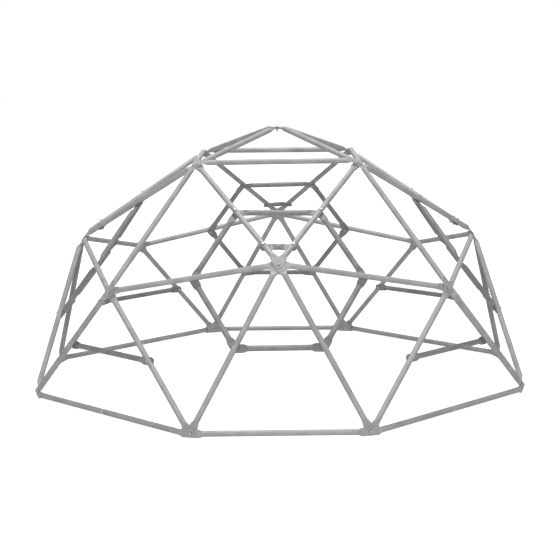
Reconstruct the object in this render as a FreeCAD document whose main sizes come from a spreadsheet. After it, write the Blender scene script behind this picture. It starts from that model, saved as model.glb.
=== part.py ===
# Dome climber: bolted steel tubes with flattened ends, in millimetres, +Z up, standing on z = 0.
# The dome repeats four times about Z. The front quarter is modelled and turned by 90 degrees;
# left and right are as seen from outside the dome, facing a side.
import FreeCAD, Part
import math
import os
from FreeCAD import Placement, Rotation, Vector

SIZES = {
    # joint positions: distance of the bolt from the dome's axis, and its rise above the base bolts
    "apex_rise": 1538,
    "crown_radius": 664,
    "crown_rise": 1350,
    "side_radius": 1204,
    "side_rise": 866,
    "corner_radius": 1334,
    "corner_rise": 682,
    "base_across": 2894,
    "short_base_spacing": 960,
    # steel tube and its flattened, bolted ends
    "tube_dia": 31.8,
    "tube_wall": 1.5,
    "crush_length": 30,
    "bolt_to_bend": 42.7,
    "brace_reach": 165,
    # long base bars are two halves: a swaged neck slides into the other half's open tube
    "swage_length": 60,
    "swage_taper": 7,
    "swage_clearance": 0.3,
    "splice_bolt_to_seam": 20,
    # fasteners
    "bolt_dia": 8,
    "bolt_hole_dia": 9,
    "hex_across_flats": 13,
    "bolt_head_height": 5.3,
    "nut_height": 8,
    "nut_collar_height": 1.8,
    "nut_collar_dia": 11.4,
    "thread_clearance": 0.1,
    "bolt_tail": 3,
}

SIDES = ("front", "right", "rear", "left")
CORNERS = ("front_right", "rear_right", "rear_left", "front_left")
Z_AXIS = Vector(0, 0, 1)

os.makedirs("parts", exist_ok=True)
doc = FreeCAD.newDocument("dome_climber")


# ---------------------------------------------------------------- sheets

def make_sheet(name, values):
    """A sheet with one aliased number per row."""
    sheet = doc.addObject("Spreadsheet::Sheet", name)
    for row, (alias, value) in enumerate(values.items(), start=1):
        sheet.set(f"A{row}", alias)
        sheet.set(f"B{row}", str(value))
        sheet.setAlias(f"B{row}", alias)
    doc.recompute()
    return sheet


sizes = make_sheet("Sizes", SIZES)

# Flattening keeps the tube's outline length, so the paddle is wider than the tube.
paddle_thick = 2 * sizes.tube_wall
paddle_width = paddle_thick + math.pi * (sizes.tube_dia - paddle_thick) / 2
foot_height = paddle_width / 2


# ---------------------------------------------------------------- joints

def quarter_turn(quarter):
    return Rotation(Z_AXIS, 90 * quarter)


def joint_bolt(kind, quarter):
    """Centre of the joint's stack of paddles, and the outward direction of its bolt."""
    half_across = sizes.base_across / 2
    half_short = sizes.short_base_spacing / 2
    diagonal = math.sqrt(0.5)
    front_places = {
        "apex": Vector(0, 0, sizes.apex_rise),
        "crown": Vector(sizes.crown_radius * diagonal, -sizes.crown_radius * diagonal, sizes.crown_rise),
        "side": Vector(0, -sizes.side_radius, sizes.side_rise),
        "corner": Vector(sizes.corner_radius * diagonal, -sizes.corner_radius * diagonal, sizes.corner_rise),
        "left_foot": Vector(-half_short, -half_across, 0),
        "right_foot": Vector(half_short, -half_across, 0),
    }
    place = quarter_turn(quarter).multVec(front_places[kind])
    outward = Vector(place).normalize()
    return place + Vector(0, 0, foot_height), outward


# Layers of the stack at each joint, outermost first: (bar, quarter of the bar from the joint's own)
STACKS = {
    "crown": (("crown_bar", 0), ("crown_bar", 1), ("corner_bar", 0),
              ("apex_bar", 0), ("upper_bar_left", 1), ("upper_bar_right", 0)),
    "side": (("upper_bar_left", 0), ("lower_bar_right", 0), ("upper_bar_right", 0),
             ("lower_bar_left", 0), ("middle_bar_right", 0), ("middle_bar_left", 0)),
    "corner": (("corner_bar", 0), ("leg_left", 0), ("middle_bar_left", 1),
               ("middle_bar_right", 0), ("leg_right", 0)),
    "right_foot": (("long_base_bar", 0), ("short_base_bar", 0), ("leg_left", 0), ("lower_bar_right", 0)),
    "left_foot": (("long_base_bar", -1), ("short_base_bar", 0), ("leg_right", -1), ("lower_bar_left", 0)),
}
APEX_LAYER_OF_QUARTER = (0, 2, 1, 3)

# Bars between joints, as (joint, quarter) at the start and at the end
FRAME_BARS = {
    "crown_bar": (("crown", -1), ("crown", 0)),
    "upper_bar_left": (("crown", -1), ("side", 0)),
    "upper_bar_right": (("crown", 0), ("side", 0)),
    "corner_bar": (("crown", 0), ("corner", 0)),
    "middle_bar_left": (("corner", -1), ("side", 0)),
    "middle_bar_right": (("corner", 0), ("side", 0)),
    "lower_bar_left": (("side", 0), ("left_foot", 0)),
    "lower_bar_right": (("side", 0), ("right_foot", 0)),
    "leg_left": (("corner", 0), ("right_foot", 0)),
    "leg_right": (("corner", 0), ("left_foot", 1)),
    "short_base_bar": (("left_foot", 0), ("right_foot", 0)),
    "long_base_bar": (("right_foot", 0), ("left_foot", 1)),
}


def paddle_seat(joint, bar, quarter):
    """Middle of the bar's paddle on the joint's bolt, and the bolt's outward direction."""
    kind, joint_quarter = joint
    centre, outward = joint_bolt(kind, joint_quarter)
    if kind == "apex":
        layer, layers = APEX_LAYER_OF_QUARTER[quarter], len(APEX_LAYER_OF_QUARTER)
    else:
        stack = STACKS[kind]
        layer, layers = stack.index((bar, quarter - joint_quarter)), len(stack)
    offset = paddle_thick * ((layers - 1) / 2 - layer)
    return centre + outward * offset, outward


# ---------------------------------------------------------------- bar geometry

# The bends' places depend on each other, so they are worked out by repeating until they settle.
SETTLING_PASSES = 12


class Bar:
    """A straight tube between two bends, with a flat paddle beyond each bend."""

    def __init__(self, start_seat, end_seat):
        self.start_bolt, self.start_out = start_seat
        self.end_bolt, self.end_out = end_seat
        start, end = self.start_bolt, self.end_bolt
        for _ in range(SETTLING_PASSES):
            along = (end - start).normalize()
            start = self.start_bolt + in_plane(along, self.start_out) * sizes.bolt_to_bend
            end = self.end_bolt + in_plane(-along, self.end_out) * sizes.bolt_to_bend
        self.start, self.end = start, end
        self.along = (end - start).normalize()
        self.length = (end - start).Length

    def bends(self):
        """Angles between the tube and the paddles, at the start and at the end."""
        return (math.degrees(math.asin(-self.along.dot(self.start_out))),
                math.degrees(math.asin(self.along.dot(self.end_out))))

    def placement(self):
        """Local Z runs along the tube from the start bend; local X points outward there."""
        x_axis = in_plane(self.start_out, self.along)
        return Placement(self.start, Rotation(x_axis, Vector(), self.along, "ZXY"))

    def turn_of(self, direction):
        """Angle of a direction about the tube, from local X."""
        local = self.placement().Rotation.inverted().multVec(direction)
        return math.degrees(math.atan2(local.y, local.x))

    def tap(self, distance):
        """Point on the tube's axis, and the outward direction square to the tube there."""
        point = self.start + self.along * distance
        return point, in_plane(point - Vector(0, 0, foot_height), self.along)

    def inner_seat(self, distance, layer):
        """Seat of a paddle bolted to the inside of this tube, in the given layer."""
        point, outward = self.tap(distance)
        depth = sizes.tube_dia / 2 + paddle_thick * (layer + 0.5)
        return point - outward * depth, outward


def in_plane(vector, normal):
    """Unit vector of the part of a vector that is square to the normal."""
    return (vector - normal * vector.dot(normal)).normalize()


def frame_bar(name):
    start_joint, end_joint = FRAME_BARS[name]
    return Bar(paddle_seat(start_joint, name, 0), paddle_seat(end_joint, name, 0))


bars = {name: frame_bar(name) for name in FRAME_BARS}
for quarter, corner in enumerate(CORNERS):
    apex_seat = paddle_seat(("apex", 0), "apex_bar", quarter)
    crown_seat = paddle_seat(("crown", quarter), "apex_bar", quarter)
    bars[f"{corner}_apex_bar"] = Bar(apex_seat, crown_seat)

# The ring of a side links the middles of the six bars around its joint, in this order.
RING_SPOKES = ("upper_bar_left", "upper_bar_right", "middle_bar_right",
               "lower_bar_right", "lower_bar_left", "middle_bar_left")
RING_BARS = ("ring_bar_top", "ring_bar_upper_right", "ring_bar_lower_right",
             "ring_bar_bottom", "ring_bar_lower_left", "ring_bar_upper_left")


def middle_seat(spoke, layer):
    return bars[spoke].inner_seat(bars[spoke].length / 2, layer)


def brace_distance(spoke):
    """Distance of the brace's bolt from the start of an upper bar, which ends at the side joint."""
    return bars[spoke].length + sizes.bolt_to_bend - sizes.brace_reach


for index, name in enumerate(RING_BARS):
    next_spoke = RING_SPOKES[(index + 1) % len(RING_SPOKES)]
    bars[name] = Bar(middle_seat(RING_SPOKES[index], 0), middle_seat(next_spoke, 1))
bars["corner_tie"] = Bar(middle_seat("leg_left", 0), middle_seat("leg_right", 0))
bars["brace"] = Bar(*(bars[spoke].inner_seat(brace_distance(spoke), 0)
                      for spoke in ("upper_bar_left", "upper_bar_right")))

# What each bar's shape follows, worked out from the driving sizes
worked = {"paddle_thick": paddle_thick, "paddle_width": paddle_width}
for name, bar in bars.items():
    worked[f"{name}_length"] = bar.length
    worked[f"{name}_start_bend"], worked[f"{name}_end_bend"] = bar.bends()
    worked[f"{name}_twist"] = bar.turn_of(in_plane(bar.end_out, bar.along))
    worked[f"{name}_tap_turn"] = bar.turn_of(bar.tap(bar.length / 2)[1])
make_sheet("Bars", worked)


# ---------------------------------------------------------------- bar solids

def bound(kind, name, **expressions):
    """An object whose properties follow the sheets."""
    item = doc.addObject(kind, name)
    for property_name, expression in expressions.items():
        item.setExpression(property_name, expression)
    return item


def place(z="0", turn="0", tilt="0"):
    return f"placement(vector(0; 0; {z}); rotation({turn}; {tilt}; 0))"


def shift(x="0", y="0", z="0"):
    return f"placement(vector({x}; {y}; {z}); rotation(0; 0; 0))"


def cylinder(name, radius, height, placement):
    return bound("Part::Cylinder", name, Radius=radius, Height=height, Placement=placement)


def crushed_end(name, at_end):
    """The taper from round tube to flat paddle, the bent paddle, and its bolt hole."""
    if at_end:
        bend_z = f"Bars.{name}_length"
        round_z = f"Bars.{name}_length - Sizes.crush_length"
        turn = f"Bars.{name}_twist"
        paddle_plane = place(bend_z, turn, f"-90 - Bars.{name}_end_bend")
        roll = "90"
    else:
        round_z = "Sizes.crush_length"
        turn = "0"
        paddle_plane = place(tilt=f"90 + Bars.{name}_start_bend")
        roll = "-90"
    flat = bound("Part::Ellipse", "flat", MajorRadius="Bars.paddle_width / 2",
                 MinorRadius="Bars.paddle_thick / 2",
                 Placement=f"{paddle_plane} * placement(vector(0; 0; 0); rotation(90; 0; {roll}))")
    round_end = bound("Part::Circle", "round", Radius="Sizes.tube_dia / 2",
                      Placement=place(round_z, f"90 + {turn}"))
    taper = doc.addObject("Part::Loft", "taper")
    taper.Sections = [flat, round_end]
    taper.Solid = True
    half_thick = "Bars.paddle_thick / 2"
    plate = bound("Part::Box", "plate", Length="Sizes.bolt_to_bend", Width="Bars.paddle_width",
                  Height="Bars.paddle_thick",
                  Placement=f"{paddle_plane} * {shift(y='-Bars.paddle_width / 2', z=f'-{half_thick}')}")
    disc = cylinder("disc", "Bars.paddle_width / 2", "Bars.paddle_thick",
                    f"{paddle_plane} * {shift(x='Sizes.bolt_to_bend', z=f'-{half_thick}')}")
    hole = cylinder("hole", "Sizes.bolt_hole_dia / 2", "2 * Bars.paddle_thick",
                    f"{paddle_plane} * {shift(x='Sizes.bolt_to_bend', z='-Bars.paddle_thick')}")
    return [taper, plate, disc], hole


def cross_hole(name, distance):
    """A bolt hole straight through the tube, at a distance from the start bend."""
    return cylinder("cross_hole", "Sizes.bolt_hole_dia / 2", "2 * Sizes.tube_dia",
                    f"{place(distance, f'Bars.{name}_tap_turn', '90')} * {shift(z='-Sizes.tube_dia')}")


def make_tube(low, high):
    """Outer cylinder and bore of a round tube from one height to another."""
    height = f"{high} - ({low})"
    outer = cylinder("outer", "Sizes.tube_dia / 2", height, place(low))
    bore = cylinder("bore", "Sizes.tube_dia / 2 - Sizes.tube_wall", height, place(low))
    return outer, bore


def finish_bar(label, name, solids, cuts):
    whole = doc.addObject("Part::MultiFuse", f"{label}_solids")
    whole.Shapes = solids
    whole.Refine = True
    openings = doc.addObject("Part::MultiFuse", f"{label}_openings")
    openings.Shapes = cuts
    finished = doc.addObject("Part::Cut", f"{label}_piece")
    finished.Base = whole
    finished.Tool = openings
    finished.Placement = bars[name].placement()
    return finished


def make_bar(name, cross_distances=()):
    """A whole bar with a paddle at each end."""
    start_solids, start_hole = crushed_end(name, at_end=False)
    end_solids, end_hole = crushed_end(name, at_end=True)
    outer, bore = make_tube("Sizes.crush_length", f"Bars.{name}_length - Sizes.crush_length")
    cuts = [bore, start_hole, end_hole] + [cross_hole(name, distance) for distance in cross_distances]
    return finish_bar(name, name, [outer] + start_solids + end_solids, cuts)


SEAM = "Bars.long_base_bar_length / 2"
SPLICE_BOLT = f"{SEAM} - Sizes.splice_bolt_to_seam"


def make_socket_half():
    """Half of a long base bar whose open end takes the other half's neck."""
    solids, hole = crushed_end("long_base_bar", at_end=False)
    outer, bore = make_tube("Sizes.crush_length", SEAM)
    return finish_bar("long_base_socket_half", "long_base_bar", [outer] + solids,
                      [bore, hole, cross_hole("long_base_bar", SPLICE_BOLT)])


def make_swaged_half():
    """Half of a long base bar with a tapered shoulder and a neck that fits the socket."""
    solids, hole = crushed_end("long_base_bar", at_end=True)
    outer, bore = make_tube(f"{SEAM} + Sizes.swage_taper", "Bars.long_base_bar_length - Sizes.crush_length")
    neck_radius = "Sizes.tube_dia / 2 - Sizes.tube_wall - Sizes.swage_clearance"
    neck_bore = f"{neck_radius} - Sizes.tube_wall"
    shoulder = bound("Part::Cone", "shoulder", Radius1=neck_radius, Radius2="Sizes.tube_dia / 2",
                     Height="Sizes.swage_taper", Placement=place(SEAM))
    shoulder_bore = bound("Part::Cone", "shoulder_bore", Radius1=neck_bore,
                          Radius2="Sizes.tube_dia / 2 - Sizes.tube_wall",
                          Height="Sizes.swage_taper", Placement=place(SEAM))
    neck_z = f"{SEAM} - Sizes.swage_length"
    neck = cylinder("neck", neck_radius, "Sizes.swage_length", place(neck_z))
    inner = cylinder("neck_bore", neck_bore, "Sizes.swage_length", place(neck_z))
    return finish_bar("long_base_swaged_half", "long_base_bar", [outer, shoulder, neck] + solids,
                      [bore, shoulder_bore, inner, hole, cross_hole("long_base_bar", SPLICE_BOLT)])


# ---------------------------------------------------------------- fasteners

def make_bolt(label, grip):
    """A hexagon bolt; its head stands on z = 0 and its shank points down."""
    length = f"{grip} + Sizes.nut_height + Sizes.bolt_tail"
    hexagon = bound("Part::Prism", "hexagon", Circumradius="Sizes.hex_across_flats / sqrt(3)",
                    Height="Sizes.bolt_head_height")
    crown = bound("Part::Cone", "crown", Radius1="Sizes.hex_across_flats / 2 + Sizes.bolt_head_height",
                  Radius2="Sizes.hex_across_flats / 2", Height="Sizes.bolt_head_height")
    head = doc.addObject("Part::Common", "head")
    head.Base = hexagon
    head.Tool = crown
    shank = cylinder("shank", "Sizes.bolt_dia / 2", length, place(f"-({length})"))
    bolt = doc.addObject("Part::Fuse", f"{label}_piece")
    bolt.Base = head
    bolt.Tool = shank
    return bolt


def make_nut(label):
    """A lock nut under z = 0: a hexagon with a narrower round collar below it."""
    hex_height = "Sizes.nut_height - Sizes.nut_collar_height"
    hexagon = bound("Part::Prism", "nut_hexagon", Circumradius="Sizes.hex_across_flats / sqrt(3)",
                    Height=hex_height, Placement=place(f"-({hex_height})"))
    collar = cylinder("collar", "Sizes.nut_collar_dia / 2", "Sizes.nut_height", place("-Sizes.nut_height"))
    outside = doc.addObject("Part::Fuse", "nut_outside")
    outside.Base = hexagon
    outside.Tool = collar
    thread = cylinder("thread", "Sizes.bolt_dia / 2 + Sizes.thread_clearance / 2",
                      "Sizes.nut_height", place("-Sizes.nut_height"))
    nut = doc.addObject("Part::Cut", f"{label}_piece")
    nut.Base = outside
    nut.Tool = thread
    return nut


def on_axis(point, outward):
    """Placement with local Z along the bolt's outward direction."""
    return Placement(point, Rotation(Z_AXIS, outward))


def joint_seats():
    """Head and nut placements of the bolt through each joint's stack of paddles."""
    joints = [("apex", 0, len(APEX_LAYER_OF_QUARTER))]
    joints += [(kind, quarter, len(stack)) for kind, stack in STACKS.items() for quarter in range(4)]
    for kind, quarter, layers in joints:
        centre, outward = joint_bolt(kind, quarter)
        reach = outward * (paddle_thick * layers / 2)
        yield on_axis(centre + reach, outward), on_axis(centre - reach, outward)


def tube_seats(spoke, distance, layers):
    """Head and nut placements of a bolt through a tube, for each quarter of the dome."""
    point, outward = bars[spoke].tap(distance)
    radius = sizes.tube_dia / 2
    for quarter in range(4):
        turned = Placement(Vector(), quarter_turn(quarter))
        head = on_axis(point + outward * radius, outward)
        nut = on_axis(point - outward * (radius + layers * paddle_thick), outward)
        yield turned * head, turned * nut


# ---------------------------------------------------------------- the dome

nodes = []


def add_node(label, shape, placement):
    """A sub-part of the dome as an object of its own."""
    node = doc.addObject("Part::Feature", label)
    node.Shape = shape
    node.Placement = placement
    node.Label = label
    nodes.append(node)


def add_turned(labels, piece):
    """One sub-part for each quarter of the dome."""
    for quarter, label in enumerate(labels):
        add_node(label, piece.Shape, Placement(Vector(), quarter_turn(quarter)) * piece.Placement)


def add_group(label, shape_placements):
    """Alike pieces that share a node, each a solid of its own."""
    solids = [shape.transformed(placement.Matrix) for shape, placement in shape_placements]
    add_node(label, Part.makeCompound(solids), Placement())


def turned_group(pieces, quarters=range(4)):
    """Shapes and placements of pieces of the front quarter, turned into other quarters."""
    return [(local_shape(piece), Placement(Vector(), quarter_turn(quarter)) * piece.Placement)
            for quarter in quarters for piece in pieces]


def local_shape(piece):
    shape = piece.Shape.copy()
    shape.Placement = Placement()
    return shape


def per_side(name):
    return [f"{side}_{name}" for side in SIDES]


def per_corner(name):
    return [f"{corner}_{name}" for corner in CORNERS]


MIDDLE_TAPPED = set(RING_SPOKES) | {"leg_left", "leg_right"}
BRACED = ("upper_bar_left", "upper_bar_right")
HALVED = "long_base_bar"


def cross_distances(name):
    """Expressions for where bolts cross a bar's tube."""
    distances = []
    if name in MIDDLE_TAPPED:
        distances.append(f"Bars.{name}_length / 2")
    if name in BRACED:
        distances.append(f"Bars.{name}_length + Sizes.bolt_to_bend - Sizes.brace_reach")
    return distances


pieces = {name: make_bar(name, cross_distances(name)) for name in bars if name != HALVED}
socket_half = make_socket_half()
swaged_half = make_swaged_half()
joint_bolt_piece = make_bolt("joint_bolt", "6 * Bars.paddle_thick")
tube_bolt_piece = make_bolt("tube_bolt", "Sizes.tube_dia + 2 * Bars.paddle_thick")
splice_bolt_piece = make_bolt("splice_bolt", "Sizes.tube_dia")
nut_piece = make_nut("lock_nut")
doc.recompute()

for corner in CORNERS:
    name = f"{corner}_apex_bar"
    add_node(name, pieces[name].Shape, pieces[name].Placement)
for name in ("corner_bar", "leg_left", "leg_right"):
    add_turned(per_corner(name), pieces[name])
for name in FRAME_BARS:
    if name not in ("corner_bar", "leg_left", "leg_right", HALVED):
        add_turned(per_side(name), pieces[name])
add_group("long_base_socket_halves", turned_group([socket_half]))
add_group("long_base_swaged_halves", turned_group([swaged_half]))
for quarter, side in enumerate(SIDES):
    add_group(f"{side}_ring_bars", turned_group([pieces[name] for name in RING_BARS], [quarter]))
add_group("corner_ties", turned_group([pieces["corner_tie"]]))
add_group("side_braces", turned_group([pieces["brace"]]))

joint_pairs = list(joint_seats())
tube_pairs = [pair for spoke in RING_SPOKES for pair in tube_seats(spoke, bars[spoke].length / 2, 2)]
tube_pairs += [pair for leg in ("leg_left", "leg_right") for pair in tube_seats(leg, bars[leg].length / 2, 1)]
tube_pairs += [pair for spoke in BRACED for pair in tube_seats(spoke, brace_distance(spoke), 1)]
splice_distance = bars[HALVED].length / 2 - sizes.splice_bolt_to_seam
splice_pairs = list(tube_seats(HALVED, splice_distance, 0))
for label, piece, pairs in (("joint_bolts", joint_bolt_piece, joint_pairs),
                            ("tube_bolts", tube_bolt_piece, tube_pairs),
                            ("splice_bolts", splice_bolt_piece, splice_pairs)):
    add_group(label, [(piece.Shape, head) for head, _ in pairs])
add_group("lock_nuts", [(nut_piece.Shape, nut) for _, nut in joint_pairs + tube_pairs + splice_pairs])
doc.recompute()


# ---------------------------------------------------------------- checks and files

failed = [item.Label for item in doc.Objects if {"Invalid", "Error"} & set(item.State)]
failed += [node.Label for node in nodes if node.Shape.isNull() or not node.Shape.isValid()]
if failed:
    raise RuntimeError(f"failed objects: {failed}")

for node in nodes:
    node.Shape.exportStep(f"parts/{node.Label}.step")
solids = sum(len(node.Shape.Solids) for node in nodes)
print(f"{len(nodes)} nodes, {solids} solids, paddle {paddle_width:.1f} x {paddle_thick:.1f} mm")
for name, bar in bars.items():
    spacing = (bar.end_bolt - bar.start_bolt).Length
    print(f"{name}: bolt to bolt {spacing:.1f} mm, bends {bar.bends()[0]:.1f} and {bar.bends()[1]:.1f} degrees")
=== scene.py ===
# Dome climber: bolted grey steel tubes with flattened ends. Metres, +Z up, standing on the floor at z = 0.
import math

import bmesh
import bpy
import numpy as np
from mathutils import Matrix, Vector


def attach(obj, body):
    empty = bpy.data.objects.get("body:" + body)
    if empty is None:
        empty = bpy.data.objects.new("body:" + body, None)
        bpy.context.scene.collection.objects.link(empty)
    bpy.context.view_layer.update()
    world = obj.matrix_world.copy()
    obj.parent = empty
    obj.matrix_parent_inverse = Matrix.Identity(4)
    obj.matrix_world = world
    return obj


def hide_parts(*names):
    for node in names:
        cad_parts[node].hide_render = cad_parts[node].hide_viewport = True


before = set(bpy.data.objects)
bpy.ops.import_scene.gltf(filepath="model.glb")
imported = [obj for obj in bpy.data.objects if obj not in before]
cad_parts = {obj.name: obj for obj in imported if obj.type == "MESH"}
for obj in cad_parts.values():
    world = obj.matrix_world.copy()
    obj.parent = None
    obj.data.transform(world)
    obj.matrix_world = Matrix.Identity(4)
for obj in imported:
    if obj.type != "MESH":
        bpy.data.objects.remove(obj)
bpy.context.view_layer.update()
print("frame loaded:", len(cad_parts), "nodes")

# camera and view

cameraSetup = {
    "place": (-0.0015, -9.059, 2.0705),
    "lensMm": 94.4,
    "turnRightDeg": 0.06,
    "lookDownDeg": 9.13,
    "leanDeg": -0.66,   # the horizon is a touch off level
}


def makeCamera(setup):
    turn, down, lean = (math.radians(setup[key]) for key in ("turnRightDeg", "lookDownDeg", "leanDeg"))
    forward = Vector((math.sin(turn) * math.cos(down), math.cos(turn) * math.cos(down), -math.sin(down)))
    right = Vector((math.cos(turn), -math.sin(turn), 0))
    up = right.cross(forward)
    leaned = right * math.cos(lean) + up * math.sin(lean)
    camera = bpy.data.objects.new("camera", bpy.data.cameras.new("camera"))
    camera.data.lens = setup["lensMm"]
    camera.data.sensor_width = 36
    turned = Matrix((leaned, leaned.cross(forward), -forward)).transposed()
    camera.matrix_world = Matrix.Translation(setup["place"]) @ turned.to_4x4()
    camera.data.clip_end = 200
    bpy.context.collection.objects.link(camera)
    bpy.context.scene.camera = camera


makeCamera(cameraSetup)
bpy.context.scene.view_settings.view_transform = "Standard"

# colours and nodes


def fromHex(code, alpha=1.0):
    channels = [int(code[i:i + 2], 16) / 255 for i in (1, 3, 5)]
    linear = [c / 12.92 if c <= 0.04045 else ((c + 0.055) / 1.055) ** 2.4 for c in channels]
    return (*linear, alpha)


def addNode(tree, kind, inputs=None, **settings):
    # inputs holds, for each socket's name or number, a value or another node's output
    node = tree.nodes.new(kind)
    for name, value in settings.items():
        setattr(node, name, value)
    for key, value in (inputs or {}).items():
        if isinstance(value, bpy.types.NodeSocket):
            tree.links.new(value, node.inputs[key])
        else:
            node.inputs[key].default_value = value
    return node


def newMaterial(name):
    material = bpy.data.materials.new(name)
    material.use_nodes = True
    tree = material.node_tree
    tree.nodes.clear()
    return material, tree


# floor, backdrop and light

studio = {
    "floorColour": "#adadad",
    "floorSize": 90.0,
    "glowNear": 0.84,       # makes the lit floor white to the camera, and leaves the shadow under the dome
    "glowFar": 1.0,
    "glowReach": (2.5, 9.0),
    "skyForObject": 0.09,   # what lights the object between the lamps
    # only the top lamp gleams: from the far side a low lamp's glare would swallow the crown bars
    "front": {"power": 3000, "size": 3.0, "place": (0.0, -18.0, 5.0), "aim": (0, 0, 0.7), "gleams": False},
    "top": {"power": 750, "size": 3.0, "place": (0.0, 0.0, 10.0), "aim": (0, 0, 0), "gleams": True},
    "rear": {"power": 1000, "size": 3.0, "place": (0.0, 17.0, 7.5), "aim": (0, 0, 0.7), "gleams": False},
}


def seenDirectly(tree):
    # 1 for the camera and for what gloss and glass show, 0 for the light that falls on the object
    seen = addNode(tree, "ShaderNodeLightPath")
    mirrored = addNode(tree, "ShaderNodeMath", {
        0: seen.outputs["Is Glossy Ray"], 1: seen.outputs["Is Transmission Ray"]}, operation="MAXIMUM")
    return addNode(tree, "ShaderNodeMath", {
        0: seen.outputs["Is Camera Ray"], 1: mirrored.outputs[0]}, operation="MAXIMUM")


def makeFloor(setup):
    half = setup["floorSize"] / 2
    mesh = bpy.data.meshes.new("floor")
    corners = [(-half, -half, 0), (half, -half, 0), (half, half, 0), (-half, half, 0)]
    mesh.from_pydata(corners, [], [(0, 1, 2, 3)])
    floor = bpy.data.objects.new("floor", mesh)
    bpy.context.collection.objects.link(floor)
    material, tree = newMaterial("matt studio paper")
    paper = addNode(tree, "ShaderNodeBsdfDiffuse", {"Color": fromHex(setup["floorColour"])})
    place = addNode(tree, "ShaderNodeTexCoord")
    distance = addNode(tree, "ShaderNodeVectorMath", {0: place.outputs["Object"]}, operation="LENGTH")
    near, far = setup["glowReach"]
    strength = addNode(tree, "ShaderNodeMapRange", {
        "Value": distance.outputs["Value"], "From Min": near, "From Max": far,
        "To Min": setup["glowNear"], "To Max": setup["glowFar"]})
    glow = addNode(tree, "ShaderNodeEmission", {"Color": (1, 1, 1, 1), "Strength": strength.outputs[0]})
    lit = addNode(tree, "ShaderNodeAddShader", {0: paper.outputs[0], 1: glow.outputs[0]})
    direct = seenDirectly(tree)
    shown = addNode(tree, "ShaderNodeMixShader", {
        0: direct.outputs[0], 1: paper.outputs[0], 2: lit.outputs[0]})
    addNode(tree, "ShaderNodeOutputMaterial", {"Surface": shown.outputs[0]})
    material.cycles.emission_sampling = "NONE"   # the glow is only seen, so it isn't sampled as a lamp
    mesh.materials.append(material)


def makeSky(setup):
    world = bpy.data.worlds.new("studio sky")
    bpy.context.scene.world = world
    world.use_nodes = True
    tree = world.node_tree
    tree.nodes.clear()
    white = addNode(tree, "ShaderNodeBackground", {"Color": (1, 1, 1, 1), "Strength": 1.0})
    soft = addNode(tree, "ShaderNodeBackground", {"Color": (1, 1, 1, 1), "Strength": setup["skyForObject"]})
    direct = seenDirectly(tree)
    shown = addNode(tree, "ShaderNodeMixShader", {
        0: direct.outputs[0], 1: soft.outputs[0], 2: white.outputs[0]})
    addNode(tree, "ShaderNodeOutputWorld", {"Surface": shown.outputs[0]})


def makeLamp(name, setup):
    lamp = bpy.data.objects.new(name, bpy.data.lights.new(name, "AREA"))
    lamp.data.energy = setup["power"]
    lamp.data.size = setup["size"]
    lamp.location = setup["place"]
    lamp.visible_glossy = setup["gleams"]
    aim = Vector(setup["aim"]) - Vector(setup["place"])
    lamp.rotation_euler = aim.to_track_quat("-Z", "Y").to_euler()
    bpy.context.collection.objects.link(lamp)


makeFloor(studio)
makeSky(studio)
for lampName in ("front", "top", "rear"):
    makeLamp(f"{lampName} lamp", studio[lampName])
print("camera, floor and light ready")

# materials


def perMetre(millimetres):
    return 1000.0 / millimetres


# the same sizes as the frame's own tubes, in metres
barSizes = {
    "tubeDiameter": 0.0318,
    "pressedThickness": 0.003,
    "boltToBend": 0.0427,
    "pressLength": 0.030,
    "tipRadius": 0.02412,
}

# plain grey powder coat, sprayed and baked on steel tube: no grain, a fine orange peel that breaks up the
# broad soft highlight, cloudy film, a rubbed look on top of the bars, painted shade and dirt round the bolts
# where the paddles stack, and chips on pressed edges. A pair ending in Range is where a pattern sets in and
# where it is full.
powderCoat = {
    "colour": "#929395",
    "thinCoat": "#878889",          # where less powder landed
    "cloudMm": 90.0,
    "cloudRange": (0.42, 0.62),
    "rubbed": "#a3a4a5",            # polished by hands and shoes
    "rubbedMost": 0.55,
    "rubbedSmoother": -0.12,        # what polishing takes off the roughness
    "upwardRange": (0.45, 0.95),    # how far a face looks up before it is rubbed
    "scuffMm": 45.0,
    "scuffRange": (0.44, 0.62),
    "boltShadeAndDirt": "#4c4a45",             # painted shade of the stacked paddles, with dirt, round the bolts
    "boltShadeAndDirtMost": 0.8,
    "boltShadeAndDirtRange": (0.35, 0.6),
    "boltShadeAndDirtMm": (7.5, 15.0),        # from the bolt's axis
    "steel": "#5e5f62",             # at chips on the pressed and sheared edges
    "rimRange": (0.55, 1.0),
    "chipRange": (0.52, 0.6),
    "speckMm": 2.5,
    "peelMm": 3.0,                  # real peel is nearer 1.5 mm; drawn coarser so that it shows
    "peelHeightMm": 0.22,           # and deeper
    "drawnMm": 9.0,                 # faint unevenness of the tube under the coat
    "drawnHeightMm": 0.5,
    "drawnStrength": 0.5,
    "glossMm": 30.0,
    "glossRange": (0.35, 0.65),
    "roughness": (0.40, 0.50),
    "specular": 0.4,
}

# the short bars of the rings, ties and braces sit inside the spokes and get a darker copy of the coat:
# painted shade
shadedRingCoat = dict(powderCoat, colour="#78797a", thinCoat="#6b6c6d", rubbed="#8a8b8c")


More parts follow.
